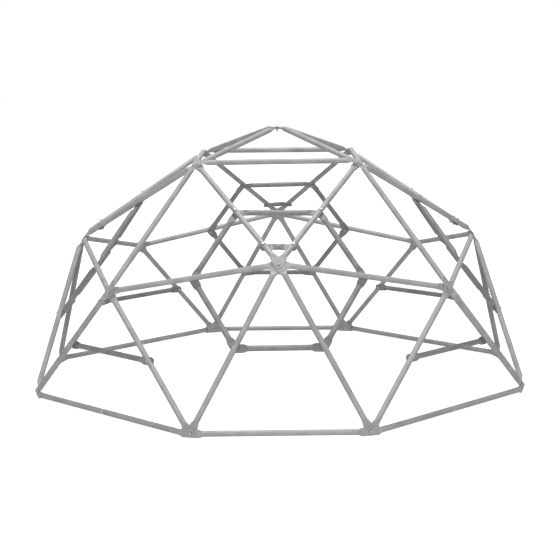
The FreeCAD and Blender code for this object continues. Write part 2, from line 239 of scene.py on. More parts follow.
def makePowderCoat(name, finish):
    material, tree = newMaterial(name)
    place = addNode(tree, "ShaderNodeTexCoord").outputs["Object"]

    # cloudy film
    clouds = addNode(tree, "ShaderNodeTexNoise", {
        "Vector": place, "Scale": perMetre(finish["cloudMm"]), "Detail": 5.0})
    low, high = finish["cloudRange"]
    thin = addNode(tree, "ShaderNodeMapRange", {
        "Value": clouds.outputs[0], "From Min": low, "From Max": high}, interpolation_type="SMOOTHSTEP")
    clouded = addNode(tree, "ShaderNodeMix", {
        0: thin.outputs[0], 6: fromHex(finish["colour"]), 7: fromHex(finish["thinCoat"])}, data_type="RGBA")

    # rubbed on top, in patches
    facing = addNode(tree, "ShaderNodeNewGeometry")
    normal = addNode(tree, "ShaderNodeSeparateXYZ", {0: facing.outputs["Normal"]})
    low, high = finish["upwardRange"]
    onTop = addNode(tree, "ShaderNodeMapRange", {
        "Value": normal.outputs[2], "From Min": low, "From Max": high, "To Max": finish["rubbedMost"]},
        interpolation_type="SMOOTHSTEP")
    scuffNoise = addNode(tree, "ShaderNodeTexNoise", {
        "Vector": place, "Scale": perMetre(finish["scuffMm"]), "Detail": 3.0})
    low, high = finish["scuffRange"]
    scuffs = addNode(tree, "ShaderNodeMapRange", {
        "Value": scuffNoise.outputs[0], "From Min": low, "From Max": high}, interpolation_type="SMOOTHSTEP")
    polished = addNode(tree, "ShaderNodeMath", {
        0: onTop.outputs[0], 1: scuffs.outputs[0]}, operation="MULTIPLY")
    rubbed = addNode(tree, "ShaderNodeMix", {
        0: polished.outputs[0], 6: clouded.outputs[2], 7: fromHex(finish["rubbed"])}, data_type="RGBA")

    # painted shade and dirt round the bolts, where the paddles stack; onBar is the place across the bar,
    # nearness to an edge, distance from the tip
    onBar = addNode(tree, "ShaderNodeAttribute", attribute_name="onBar")
    flat = addNode(tree, "ShaderNodeVectorMath", {
        0: onBar.outputs["Vector"], 1: (1, 0, 1)}, operation="MULTIPLY")
    fromBolt = addNode(tree, "ShaderNodeVectorMath", {
        0: flat.outputs[0], 1: (0, 0, barSizes["tipRadius"])}, operation="DISTANCE")
    near, far = (edge / 1000 for edge in finish["boltShadeAndDirtMm"])
    ring = addNode(tree, "ShaderNodeMapRange", {
        "Value": fromBolt.outputs["Value"], "From Min": near, "From Max": far,
        "To Min": finish["boltShadeAndDirtMost"], "To Max": 0.0}, interpolation_type="SMOOTHSTEP")
    specks = addNode(tree, "ShaderNodeTexNoise", {
        "Vector": place, "Scale": perMetre(finish["speckMm"]), "Detail": 6.0, "Roughness": 0.7})
    low, high = finish["boltShadeAndDirtRange"]
    patchy = addNode(tree, "ShaderNodeMapRange", {
        "Value": specks.outputs[0], "From Min": low, "From Max": high}, interpolation_type="SMOOTHSTEP")
    boltShadeAndDirtMask = addNode(tree, "ShaderNodeMath", {
        0: ring.outputs[0], 1: patchy.outputs[0]}, operation="MULTIPLY")
    # the dark round each bolt is painted shade, broken up with dirt specks
    boltShadedAndDirty = addNode(tree, "ShaderNodeMix", {
        0: boltShadeAndDirtMask.outputs[0], 6: rubbed.outputs[2], 7: fromHex(finish["boltShadeAndDirt"])}, data_type="RGBA")

    # chips on the edges
    rim = addNode(tree, "ShaderNodeSeparateXYZ", {0: onBar.outputs["Vector"]})
    low, high = finish["rimRange"]
    onRim = addNode(tree, "ShaderNodeMapRange", {
        "Value": rim.outputs[1], "From Min": low, "From Max": high}, interpolation_type="SMOOTHSTEP")
    low, high = finish["chipRange"]
    chipped = addNode(tree, "ShaderNodeMapRange", {
        "Value": specks.outputs[0], "From Min": low, "From Max": high}, interpolation_type="SMOOTHSTEP")
    chips = addNode(tree, "ShaderNodeMath", {
        0: onRim.outputs[0], 1: chipped.outputs[0]}, operation="MULTIPLY")
    coat = addNode(tree, "ShaderNodeMix", {
        0: chips.outputs[0], 6: boltShadedAndDirty.outputs[2], 7: fromHex(finish["steel"])}, data_type="RGBA")

    # satin gloss, smoother where it is rubbed
    glossNoise = addNode(tree, "ShaderNodeTexNoise", {
        "Vector": place, "Scale": perMetre(finish["glossMm"]), "Detail": 4.0})
    low, high = finish["glossRange"]
    smooth, rough = finish["roughness"]
    gloss = addNode(tree, "ShaderNodeMapRange", {
        "Value": glossNoise.outputs[0], "From Min": low, "From Max": high,
        "To Min": smooth, "To Max": rough}, interpolation_type="SMOOTHSTEP")
    satin = addNode(tree, "ShaderNodeMath", {
        0: polished.outputs[0], 1: finish["rubbedSmoother"], 2: gloss.outputs[0]}, operation="MULTIPLY_ADD")

    # unevenness of the tube, and orange peel over it
    waves = addNode(tree, "ShaderNodeTexNoise", {"Vector": place, "Scale": perMetre(finish["drawnMm"])})
    drawn = addNode(tree, "ShaderNodeBump", {
        "Height": waves.outputs[0], "Strength": finish["drawnStrength"],
        "Distance": finish["drawnHeightMm"] / 1000})
    skin = addNode(tree, "ShaderNodeTexNoise", {"Vector": place, "Scale": perMetre(finish["peelMm"])})
    peel = addNode(tree, "ShaderNodeBump", {
        "Height": skin.outputs[0], "Strength": 1.0, "Distance": finish["peelHeightMm"] / 1000,
        "Normal": drawn.outputs[0]})

    body = addNode(tree, "ShaderNodeBsdfPrincipled", {
        "Base Color": coat.outputs[2], "Roughness": satin.outputs[0], "Normal": peel.outputs[0],
        "Specular IOR Level": finish["specular"]})
    addNode(tree, "ShaderNodeOutputMaterial", {"Surface": body.outputs[0]})
    return material


# bright zinc plate, barrel plated: a mirror gone slightly milky, bluish to straw, with tumbling marks
zincPlate = {
    "colour": "#a8acb0",
    "straw": "#aeaba0",
    "tintMm": 6.0,
    "tintRange": (0.45, 0.7),
    "milkyMm": 2.4,
    "milkyRange": (0.35, 0.65),
    "roughness": (0.30, 0.45),
    "tumbleMm": 1.2,
    "tumbleHeightMm": 0.05,
    "tumbleStrength": 0.3,
}


def makeZincPlate(finish):
    material, tree = newMaterial("bright zinc plate")
    place = addNode(tree, "ShaderNodeTexCoord").outputs["Object"]
    tintNoise = addNode(tree, "ShaderNodeTexNoise", {
        "Vector": place, "Scale": perMetre(finish["tintMm"]), "Detail": 3.0})
    low, high = finish["tintRange"]
    tint = addNode(tree, "ShaderNodeMapRange", {
        "Value": tintNoise.outputs[0], "From Min": low, "From Max": high}, interpolation_type="SMOOTHSTEP")
    colour = addNode(tree, "ShaderNodeMix", {
        0: tint.outputs[0], 6: fromHex(finish["colour"]), 7: fromHex(finish["straw"])}, data_type="RGBA")
    milkNoise = addNode(tree, "ShaderNodeTexNoise", {
        "Vector": place, "Scale": perMetre(finish["milkyMm"]), "Detail": 4.0})
    low, high = finish["milkyRange"]
    smooth, rough = finish["roughness"]
    milky = addNode(tree, "ShaderNodeMapRange", {
        "Value": milkNoise.outputs[0], "From Min": low, "From Max": high,
        "To Min": smooth, "To Max": rough}, interpolation_type="SMOOTHSTEP")
    tumbled = addNode(tree, "ShaderNodeTexNoise", {
        "Vector": place, "Scale": perMetre(finish["tumbleMm"]), "Detail": 5.0})
    marks = addNode(tree, "ShaderNodeBump", {
        "Height": tumbled.outputs[0], "Strength": finish["tumbleStrength"],
        "Distance": finish["tumbleHeightMm"] / 1000})
    body = addNode(tree, "ShaderNodeBsdfPrincipled", {
        "Base Color": colour.outputs[2], "Roughness": milky.outputs[0], "Metallic": 1.0,
        "Normal": marks.outputs[0]})
    addNode(tree, "ShaderNodeOutputMaterial", {"Surface": body.outputs[0]})
    return material


# natural nylon, moulded: the milky ring that locks the nut, soft edged because some light goes through it
nylonRing = {
    "colour": "#dedfd6",
    "dusty": "#c8c6ba",
    "dustMm": 2.0,
    "dustRange": (0.4, 0.65),
    "roughness": 0.48,
    "ior": 1.53,
    "softness": 0.15,       # share of the light that goes into the plastic
    "softnessMm": 1.0,
    "grainMm": 0.8,
    "grainHeightMm": 0.04,
    "grainStrength": 0.3,
}


def makeNylon(finish):
    material, tree = newMaterial("natural nylon")
    place = addNode(tree, "ShaderNodeTexCoord").outputs["Object"]
    dustNoise = addNode(tree, "ShaderNodeTexNoise", {
        "Vector": place, "Scale": perMetre(finish["dustMm"]), "Detail": 4.0})
    low, high = finish["dustRange"]
    dust = addNode(tree, "ShaderNodeMapRange", {
        "Value": dustNoise.outputs[0], "From Min": low, "From Max": high}, interpolation_type="SMOOTHSTEP")
    colour = addNode(tree, "ShaderNodeMix", {
        0: dust.outputs[0], 6: fromHex(finish["colour"]), 7: fromHex(finish["dusty"])}, data_type="RGBA")
    mould = addNode(tree, "ShaderNodeTexNoise", {"Vector": place, "Scale": perMetre(finish["grainMm"])})
    grain = addNode(tree, "ShaderNodeBump", {
        "Height": mould.outputs[0], "Strength": finish["grainStrength"],
        "Distance": finish["grainHeightMm"] / 1000})
    body = addNode(tree, "ShaderNodeBsdfPrincipled", {
        "Base Color": colour.outputs[2], "Roughness": finish["roughness"], "IOR": finish["ior"],
        "Subsurface Weight": finish["softness"], "Subsurface Scale": finish["softnessMm"] / 1000,
        "Normal": grain.outputs[0]})
    addNode(tree, "ShaderNodeOutputMaterial", {"Surface": body.outputs[0]})
    return material


tubeFinish = makePowderCoat("satin grey powder coat", powderCoat)
# the darker copy is painted shade for the short inner bars
shadedRingFinish = makePowderCoat("satin grey powder coat, darker batch", shadedRingCoat)
zinc = makeZincPlate(zincPlate)
nylon = makeNylon(nylonRing)
print("finishes ready: powder coat, zinc plate, nylon")

# where the bolts and bars are, read from the frame's solids

boltSizes = {"shankRadius": 0.004}

# limits that tell the frame's pieces apart, in metres
findLimits = {
    "gridPerMetre": 1e5,        # points closer than this grid are one point
    "shankSlack": 1.2,          # of the shank's radius
    "nearBolt": 0.1,
    "endSlice": 0.01,
    "paddleShare": 0.6,         # of the way from bolt to bend
    "paddleDepth": 0.08,
}


def islands(node):
    # separate solids of a node, each as an array of its points
    mesh = node.data
    points = np.empty(len(mesh.vertices) * 3)
    mesh.vertices.foreach_get("co", points)
    points = points.reshape(-1, 3)
    corners = np.empty(len(mesh.loops), dtype=np.int64)
    mesh.loops.foreach_get("vertex_index", corners)
    grid = np.round(points * findLimits["gridPerMetre"])
    nearby, first, merged = np.unique(grid, axis=0, return_index=True, return_inverse=True)
    triangles = merged.reshape(-1)[corners].reshape(-1, 3)
    points = points[first]
    labels = np.arange(len(nearby))
    while True:
        lowest = labels[triangles].min(axis=1)
        spread = labels.copy()
        for side in range(3):
            np.minimum.at(spread, triangles[:, side], lowest)
        spread = spread[spread]
        if (spread == labels).all():
            break
        labels = spread
    return [points[labels == label] for label in np.unique(labels)]


def longDirection(points):
    centre = points.mean(axis=0)
    return centre, np.linalg.eigh(np.cov((points - centre).T))[1][:, 2]


def readBolt(points):
    # a point under the head, and the direction from the shank to the head
    centre, axis = longDirection(points)
    along = (points - centre) @ axis
    offAxis = np.linalg.norm(points - centre - np.outer(along, axis), axis=1)
    isShank = offAxis < boltSizes["shankRadius"] * findLimits["shankSlack"]
    if along[~isShank].mean() < 0:
        axis, along = -axis, -along
    middle = (along[isShank].min() + along[isShank].max()) / 2
    tip = points[isShank & (along < middle)].mean(axis=0)
    seat = points[isShank & (along > middle)].mean(axis=0)
    length = np.linalg.norm(seat - tip)
    return {"seat": seat, "out": (seat - tip) / length, "length": length}


def readSeat(points, far, bolts):
    # the paddle at one end of a bar: its middle on its bolt's axis, and the bolt's outward direction
    def offAxis(bolt):
        away = far - bolt["seat"]
        return np.linalg.norm(away - np.outer(away @ bolt["out"], bolt["out"]), axis=1).max()
    tip = far.mean(axis=0)
    close = [bolt for bolt in bolts if np.linalg.norm(bolt["seat"] - tip) < findLimits["nearBolt"]]
    if not close:
        return None
    bolt = min(close, key=offAxis)
    away = points - bolt["seat"]
    depth = away @ bolt["out"]
    reach = barSizes["boltToBend"] * findLimits["paddleShare"]
    near = np.linalg.norm(away - np.outer(depth, bolt["out"]), axis=1) < reach
    near &= abs(depth) < findLimits["paddleDepth"]
    if not near.any():
        return None
    layer = (depth[near].min() + depth[near].max()) / 2
    return Vector(bolt["seat"] + bolt["out"] * layer), Vector(bolt["out"])


def readBar(points, bolts):
    centre, axis = longDirection(points)
    along = (points - centre) @ axis
    seats = []
    for side in (-1, 1):
        far = points[side * along > (side * along).max() - findLimits["endSlice"]]
        seats.append(readSeat(points, far, bolts))
    return seats


bolts = []
for name in ("joint_bolts", "tube_bolts"):
    bolts += [readBolt(points) for points in islands(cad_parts[name])]
print("bolts read:", len(bolts))

# pressed tubes: round in the middle, flattened and bent at both ends

tubeMesh = {
    "pointsAround": 48,
    "ringsAtEnd": 28,
    "ringsInMiddle": 8,
    "ringCrowding": 1.7,    # above 1 puts more rings towards the tip
    "edgeCrowding": 0.8,    # puts more points on the folds of the flat part
    "roundLeadIn": 0.010,   # fine rings run this far past the press, in metres
    "shortestMiddle": 0.006,
    "bendSoftness": 0.003,
    "weldDistance": 0.00002,
    "chipReach": 5.0,       # higher keeps the chips closer to the fold's outer line
    "bendPasses": 12,
}


def tubeFormulas(setup):
    # name of the result, operation, then numbers or names of inputs and earlier results
    middleShare = setup["ringsInMiddle"] / (setup["ringsInMiddle"] + 2 * setup["ringsAtEnd"])
    quarter = math.pi / 2
    return [
        # distance from the nearer tip, along the developed bar
        ("isEnd", "GREATER_THAN", "z", 0.0),
        ("side", "MULTIPLY_ADD", "isEnd", 2.0, -1.0),
        ("outward", "MULTIPLY", "z", 2.0),
        ("fromMiddle", "ABSOLUTE", "outward"),
        ("toTip", "SUBTRACT", 1.0, "fromMiddle"),
        ("endShare", "DIVIDE", "toTip", 1 - middleShare),
        ("endPart", "MINIMUM", "endShare", 1.0),
        ("crowded", "POWER", "endPart", setup["ringCrowding"]),
        ("bendAt", "ADD", "Tip Radius", "Bolt To Bend"),
        ("roundAt", "ADD", "bendAt", "Press Length"),
        ("half", "MULTIPLY_ADD", "Length", 0.5, "bendAt"),
        ("wantedReach", "ADD", "roundAt", setup["roundLeadIn"]),
        ("longestReach", "SUBTRACT", "half", setup["shortestMiddle"]),
        ("endReach", "MINIMUM", "wantedReach", "longestReach"),
        ("middleReach", "SUBTRACT", "half", "endReach"),
        ("middleGap", "SUBTRACT", middleShare, "fromMiddle"),
        ("middleIn", "MAXIMUM", "middleGap", 0.0),
        ("middlePart", "DIVIDE", "middleIn", middleShare),
        ("endRun", "MULTIPLY", "crowded", "endReach"),
        ("fromTip", "MULTIPLY_ADD", "middlePart", "middleReach", "endRun"),
        ("beforeBend", "SUBTRACT", "bendAt", "fromTip"),
        # thickness and width of the section, its outline length kept
        ("opening", "SMOOTHSTEP", "fromTip", "bendAt", "roundAt"),
        ("pressDepth", "SUBTRACT", "Tube Diameter", "Pressed Thickness"),
        ("thick", "MULTIPLY_ADD", "opening", "pressDepth", "Pressed Thickness"),
        ("halfThick", "MULTIPLY", "thick", 0.5),
        ("thinness", "SUBTRACT", "Tube Diameter", "thick"),
        ("foldedFlat", "MULTIPLY", "thinness", math.pi / 4),
        ("tipIn", "MINIMUM", "fromTip", "Tip Radius"),
        ("tipLeft", "SUBTRACT", "Tip Radius", "tipIn"),
        ("tipRadiusSquared", "MULTIPLY", "Tip Radius", "Tip Radius"),
        ("tipLeftSquared", "MULTIPLY", "tipLeft", "tipLeft"),
        ("tipSquared", "SUBTRACT", "tipRadiusSquared", "tipLeftSquared"),
        ("tipHalfWidth", "SQRT", "tipSquared"),
        ("tipFlat", "SUBTRACT", "tipHalfWidth", "halfThick"),
        ("tipFlatIn", "MAXIMUM", "tipFlat", 0.0),
        ("halfFlat", "MINIMUM", "foldedFlat", "tipFlatIn"),
        ("foldRadius", "MINIMUM", "halfThick", "tipHalfWidth"),
        # the tip's sheared edge is rounded over
        ("edgeShare", "DIVIDE", "fromTip", "halfThick"),
        ("edgeIn", "MINIMUM", "edgeShare", 1.0),
        ("edgeLeft", "SUBTRACT", 1.0, "edgeIn"),
        ("edgeLeftSquared", "MULTIPLY", "edgeLeft", "edgeLeft"),
        ("edgeSquared", "SUBTRACT", 1.0, "edgeLeftSquared"),
        ("edgeRound", "SQRT", "edgeSquared"),
        ("riseRadius", "MULTIPLY", "halfThick", "edgeRound"),
        # place of the point around the section: first the fold, then the flat
        ("absX", "ABSOLUTE", "x"),
        ("absY", "ABSOLUTE", "y"),
        ("turn", "ARCTAN2", "absX", "absY"),
        ("turnShare", "DIVIDE", "turn", quarter),
        ("closing", "SUBTRACT", 1.0, "opening"),
        ("power", "MULTIPLY_ADD", "closing", setup["edgeCrowding"], 1.0),
        ("around", "POWER", "turnShare", "power"),
        ("foldShare", "DIVIDE", "thick", "Tube Diameter"),
        ("foldPart", "DIVIDE", "around", "foldShare"),
        ("foldIn", "MINIMUM", "foldPart", 1.0),
        ("foldTurn", "MULTIPLY", "foldIn", quarter),
        ("pastFold", "SUBTRACT", "around", "foldShare"),
        ("pastFoldIn", "MAXIMUM", "pastFold", 0.0),
        ("flatLeft", "SUBTRACT", 1.0, "foldShare"),
        ("flatPart", "DIVIDE", "pastFoldIn", "flatLeft"),
        ("flatTo", "SUBTRACT", 1.0, "flatPart"),
        ("foldCos", "COSINE", "foldTurn"),
        ("foldSin", "SINE", "foldTurn"),
        ("foldY", "MULTIPLY", "foldCos", "foldRadius"),
        ("sizeY", "MULTIPLY_ADD", "halfFlat", "flatTo", "foldY"),
        ("sizeX", "MULTIPLY", "foldSin", "riseRadius"),
        ("signX", "SIGN", "x"),
        ("signY", "SIGN", "y"),
        ("sectionX", "MULTIPLY", "sizeX", "signX"),
        ("sectionY", "MULTIPLY", "sizeY", "signY"),
        # the bend, and the twist spread over the round middle
        ("bendBehind", "SMOOTHSTEP", "beforeBend", -setup["bendSoftness"], setup["bendSoftness"]),
        ("bendDifference", "SUBTRACT", "End Bend", "Start Bend"),
        ("sideBend", "MULTIPLY_ADD", "isEnd", "bendDifference", "Start Bend"),
        ("bend", "MULTIPLY", "sideBend", "bendBehind"),
        ("bendCos", "COSINE", "bend"),
        ("bendSin", "SINE", "bend"),
        ("xFromSection", "MULTIPLY", "sectionX", "bendCos"),
        ("xSunk", "MULTIPLY", "beforeBend", "bendSin"),
        ("placeX", "SUBTRACT", "xFromSection", "xSunk"),
        ("zFromSection", "MULTIPLY", "sectionX", "bendSin"),
        ("zReach", "MULTIPLY_ADD", "beforeBend", "bendCos", "zFromSection"),
        ("base", "MULTIPLY", "isEnd", "Length"),
        ("placeZ", "MULTIPLY_ADD", "side", "zReach", "base"),
        ("halfMiddle", "MULTIPLY", "middlePart", -0.5),
        ("twistShare", "MULTIPLY_ADD", "halfMiddle", "side", "isEnd"),
        ("twistHere", "MULTIPLY", "Twist", "twistShare"),
        # nearness to a pressed edge, for the chips in the coat
        ("rimFade", "MULTIPLY_ADD", "around", -setup["chipReach"], 1.0),
        ("rimIn", "MAXIMUM", "rimFade", 0.0),
        ("rimFlat", "MULTIPLY", "rimIn", "closing"),
        ("rim", "MAXIMUM", "rimFlat", "edgeLeft"),
    ]


def makeTubeTree(setup):
    tree = bpy.data.node_groups.new("pressed tube", "GeometryNodeTree")
    sizes = ("Length", "Start Bend", "End Bend", "Twist", "Tube Diameter", "Pressed Thickness",
             "Bolt To Bend", "Press Length", "Tip Radius")
    for name in sizes:
        tree.interface.new_socket(name, in_out="INPUT", socket_type="NodeSocketFloat")
    tree.interface.new_socket("Finish", in_out="INPUT", socket_type="NodeSocketMaterial")
    tree.interface.new_socket("Tube", in_out="OUTPUT", socket_type="NodeSocketGeometry")
    given = addNode(tree, "NodeGroupInput")
    rings = 2 * setup["ringsAtEnd"] + setup["ringsInMiddle"]
    blank = addNode(tree, "GeometryNodeMeshCylinder", {
        "Vertices": setup["pointsAround"], "Side Segments": rings,
        "Radius": 1.0, "Depth": 1.0}, fill_type="NONE")
    spot = addNode(tree, "GeometryNodeInputPosition")
    split = addNode(tree, "ShaderNodeSeparateXYZ", {0: spot.outputs[0]})
    made = {name: given.outputs[name] for name in sizes}
    made.update({"x": split.outputs[0], "y": split.outputs[1], "z": split.outputs[2]})
    for name, operation, *values in tubeFormulas(setup):
        values = [made.get(value, value) for value in values]
        if operation == "SMOOTHSTEP":
            node = addNode(tree, "ShaderNodeMapRange", dict(enumerate(values)),
                           interpolation_type="SMOOTHSTEP")
        else:
            node = addNode(tree, "ShaderNodeMath", dict(enumerate(values)), operation=operation)
        made[name] = node.outputs[0]
    flat = addNode(tree, "ShaderNodeCombineXYZ", {
        0: made["placeX"], 1: made["sectionY"], 2: made["placeZ"]})
    turned = addNode(tree, "ShaderNodeVectorRotate", {
        "Vector": flat.outputs[0], "Angle": made["twistHere"]}, rotation_type="Z_AXIS")
    onBar = addNode(tree, "ShaderNodeCombineXYZ", {
        0: made["sectionY"], 1: made["rim"], 2: made["fromTip"]})
    noted = addNode(tree, "GeometryNodeStoreNamedAttribute", {
        "Geometry": blank.outputs["Mesh"], "Name": "onBar", "Value": onBar.outputs[0]},
        data_type="FLOAT_VECTOR", domain="POINT")
    shaped = addNode(tree, "GeometryNodeSetPosition", {
        "Geometry": noted.outputs[0], "Position": turned.outputs[0]})
    closed = addNode(tree, "GeometryNodeMergeByDistance", {
        "Geometry": shaped.outputs[0], "Distance": setup["weldDistance"]})
    smooth = addNode(tree, "GeometryNodeSetShadeSmooth", {"Geometry": closed.outputs[0]})
    real = addNode(tree, "GeometryNodeRealizeInstances", {"Geometry": smooth.outputs[0]})
    coated = addNode(tree, "GeometryNodeSetMaterial", {
        "Geometry": real.outputs[0], "Material": given.outputs["Finish"]})
    addNode(tree, "NodeGroupOutput", {0: coated.outputs[0]})
    return tree


def inPlane(vector, normal):
    return (vector - normal * vector.dot(normal)).normalized()


def barPath(seats, sizes):
    # bends and placement of a tube between two seats; each pass brings the bends nearer to their places
    (startBolt, startOut), (endBolt, endOut) = seats
    start, end = startBolt, endBolt
    for _ in range(tubeMesh["bendPasses"]):
        along = (end - start).normalized()
        start = startBolt + inPlane(along, startOut) * sizes["boltToBend"]
        end = endBolt + inPlane(-along, endOut) * sizes["boltToBend"]
    along = (end - start).normalized()
    xAxis = inPlane(startOut, along)
    endX = inPlane(endOut, along)
    twist = math.atan2(xAxis.cross(endX).dot(along), xAxis.dot(endX))
    turn = Matrix((xAxis, along.cross(xAxis), along)).transposed().to_4x4()
    return {"Length": (end - start).length, "Start Bend": math.asin(-along.dot(startOut)),
            "End Bend": math.asin(along.dot(endOut)), "Twist": twist}, Matrix.Translation(start) @ turn


def plainMesh(tree, inputs, start=None):
    # runs a node tree, on a mesh to start from where it needs one, and returns its result as a mesh
    carrier = bpy.data.objects.new(tree.name, start or bpy.data.meshes.new(tree.name))
    bpy.context.collection.objects.link(carrier)
    modifier = carrier.modifiers.new(tree.name, "NODES")
    modifier.node_group = tree
    for item in tree.interface.items_tree:
        if item.in_out == "INPUT" and item.name in inputs:
            modifier[item.identifier] = inputs[item.name]
    evaluated = carrier.evaluated_get(bpy.context.evaluated_depsgraph_get())
    mesh = bpy.data.meshes.new_from_object(evaluated)
    carrier.modifiers.clear()
    if mesh.materials and mesh.materials[0] is None:
        # the carrier's own empty slot goes, and the faces keep their materials
        slots = np.empty(len(mesh.polygons), dtype=np.int32)
        mesh.polygons.foreach_get("material_index", slots)
        mesh.materials.pop(index=0)
        mesh.polygons.foreach_set("material_index", np.maximum(slots - 1, 0))
    bpy.data.objects.remove(carrier)
    return mesh


def tubeBetween(seats, tree, finish):
    shape, place = barPath(seats, barSizes)
    inputs = dict(shape, Finish=finish)
    inputs.update({
        "Tube Diameter": barSizes["tubeDiameter"],
        "Pressed Thickness": barSizes["pressedThickness"],
        "Bolt To Bend": barSizes["boltToBend"],
        "Press Length": barSizes["pressLength"],
        "Tip Radius": barSizes["tipRadius"],
    })
    return plainMesh(tree, inputs), shape["Length"], place


def joinMeshes(name, meshes):
    build = bmesh.new()
    for mesh in meshes:
        build.from_mesh(mesh)
    joined = bpy.data.meshes.new(name)
    build.to_mesh(joined)
    build.free()
    for material in meshes[0].materials:
        joined.materials.append(material)
    return joined


def addPiece(name, mesh, slot, *nodes):
    piece = bpy.data.objects.new(name, mesh)
    bpy.context.collection.objects.link(piece)
    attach(piece, "root")
    if nodes:
        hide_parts(*nodes)
    return piece


tubeTree = makeTubeTree(tubeMesh)


def wholeBars(name):
    # seats of each outer shell of a node; a bore's own shell reaches no bolt
    seats = [readBar(points, bolts) for points in islands(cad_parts[name])]
    return [pair for pair in seats if all(pair)]


barNodes = [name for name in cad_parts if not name.endswith(("halves", "bolts", "nuts"))]
for name in barNodes:
    meshes = []
    isShort = name.endswith(("ring_bars", "ties", "braces"))
    for seats in wholeBars(name):
        # short inner bars take the copy of the coat with painted shade
        mesh, _, place = tubeBetween(seats, tubeTree, shadedRingFinish if isShort else tubeFinish)
        mesh.transform(place)
        meshes.append(mesh)
    slot = "ring_coat" if isShort else "tube_coat"
    addPiece(f"{name}_tube", joinMeshes(f"{name}_tube", meshes), slot, name)
print("pressed tubes made:", len(barNodes), "pieces")

# long base bars: an open socket half and a swaged half that slides into it

spliceSizes = {
    "neckLength": 0.060,
    "neckTaper": 0.007,
    "clearance": 0.0003,
    "wall": 0.0015,
    "pastNeck": 0.010,      # how much deeper the socket's bore is than the neck
}


def cutTube(mesh, cutZ, keepSide, rings):
    # keeps one side of a plane and carries the cut edge on through rings of (radius, z), then closes it
    build = bmesh.new()
    build.from_mesh(mesh)
    everything = build.verts[:] + build.edges[:] + build.faces[:]
    bmesh.ops.bisect_plane(build, geom=everything, dist=tubeMesh["weldDistance"],
                           plane_co=(0, 0, cutZ), plane_no=(0, 0, -keepSide), clear_outer=True)
    rim = [edge for edge in build.edges if edge.is_boundary]
    for radius, z in rings:
        for edge in rim:
            edge.smooth = False
        grown = bmesh.ops.extrude_edge_only(build, edges=rim)["geom"]
        points = {item for item in grown if isinstance(item, bmesh.types.BMVert)}
        for point in points:
            flat = Vector((point.co.x, point.co.y, 0)).normalized() * radius
            point.co = (flat.x, flat.y, z)
        rim = [item for item in grown if isinstance(item, bmesh.types.BMEdge) and set(item.verts) <= points]
    bmesh.ops.contextual_create(build, geom=rim)
    bmesh.ops.recalc_face_normals(build, faces=build.faces)
    for face in build.faces:
        face.smooth = True
    # the cut leaves its new points and faces in no fixed order, so they are put in order of place
    spots = {point: tuple(point.co) for point in build.verts}
    spots.update({face: tuple(face.calc_center_median()) for face in build.faces})
    for parts in (build.verts, build.faces):
        for index, part in enumerate(sorted(parts, key=spots.get)):
            part.index = index
        parts.sort()
    build.to_mesh(mesh)
    build.free()


def longBasePairs():
    # each socket half's seat with the seat of the swaged half in line with it
    halves = {}
    for kind in ("socket", "swaged"):
        shells = islands(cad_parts[f"long_base_{kind}_halves"])
        ends = [(points.mean(axis=0), readBar(points, bolts)) for points in shells]
        halves[kind] = [(Vector(middle), pair[0] or pair[1]) for middle, pair in ends if any(pair)]
    for middle, seat in halves["socket"]:
        def offLine(other):
            line = (other[1][0] - seat[0]).normalized()
            away = middle - seat[0]
            return (away - line * away.dot(line)).length + (other[0] - middle).length
        yield seat, min(halves["swaged"], key=offLine)[1]


def makeLongBaseBars(sizes):
    boreRadius = barSizes["tubeDiameter"] / 2 - sizes["wall"]
    neckRadius = boreRadius - sizes["clearance"]
    sockets, necks = [], []
    for seats in longBasePairs():
        for meshes, isSocket in ((sockets, True), (necks, False)):
            mesh, length, place = tubeBetween(seats, tubeTree, tubeFinish)
            seam = length / 2
            if isSocket:
                bottom = seam - sizes["neckLength"] - sizes["pastNeck"]
                cutTube(mesh, seam, -1, [(boreRadius, seam), (boreRadius, bottom)])
            else:
                cutTube(mesh, seam + sizes["neckTaper"], 1, [(neckRadius, seam),
                                                             (neckRadius, seam - sizes["neckLength"])])
            mesh.transform(place)
            meshes.append(mesh)
    addPiece("long_base_socket_tubes", joinMeshes("long_base_socket_tubes", sockets), "tube_coat",
             "long_base_socket_halves")
    addPiece("long_base_swaged_tubes", joinMeshes("long_base_swaged_tubes", necks), "tube_coat",
             "long_base_swaged_halves")


makeLongBaseBars(spliceSizes)
print("long base bars made")

# fasteners: one shape each, repeated at every bolt

fastenerSizes = {
    "acrossFlats": 0.013,
    "headHeight": 0.0053,
    "nutHeight": 0.008,
    "collarHeight": 0.0018,
    "collarRadius": 0.0057,
    "insertRadius": 0.0049,
    "washerFace": 0.0004,
    "chamfer": math.radians(30),
    "flatTop": 0.94,            # share of the flats' width left flat on top
    "threadPitch": 0.00125,
    "threadDepth": 0.0006,
    "threadedTail": 0.013,
    "pointsAround": 24,
    "rowsPerPitch": 4,
    "tipShare": 0.72,           # of the shank's radius, left flat at the tip
    "washerShare": 0.97,        # of the width across flats, round under the head
    "nutBoreShare": 1.02,       # of the shank's radius, as is the insert's
    "insertBoreShare": 1.01,
    "collarTopShare": 0.95,     # of the collar's radius, where its edge is rolled in
    "collarRoll": 0.0005,
    "insertSunk": 0.0001,
    "insertTopShare": 0.97,     # of the insert's radius
    "insertTop": 0.0006,
    "insertBore": 0.0007,
}


def hexRadius(turn, acrossFlats):
    return acrossFlats / 2 / math.cos((turn % (math.pi / 3)) - math.pi / 6)


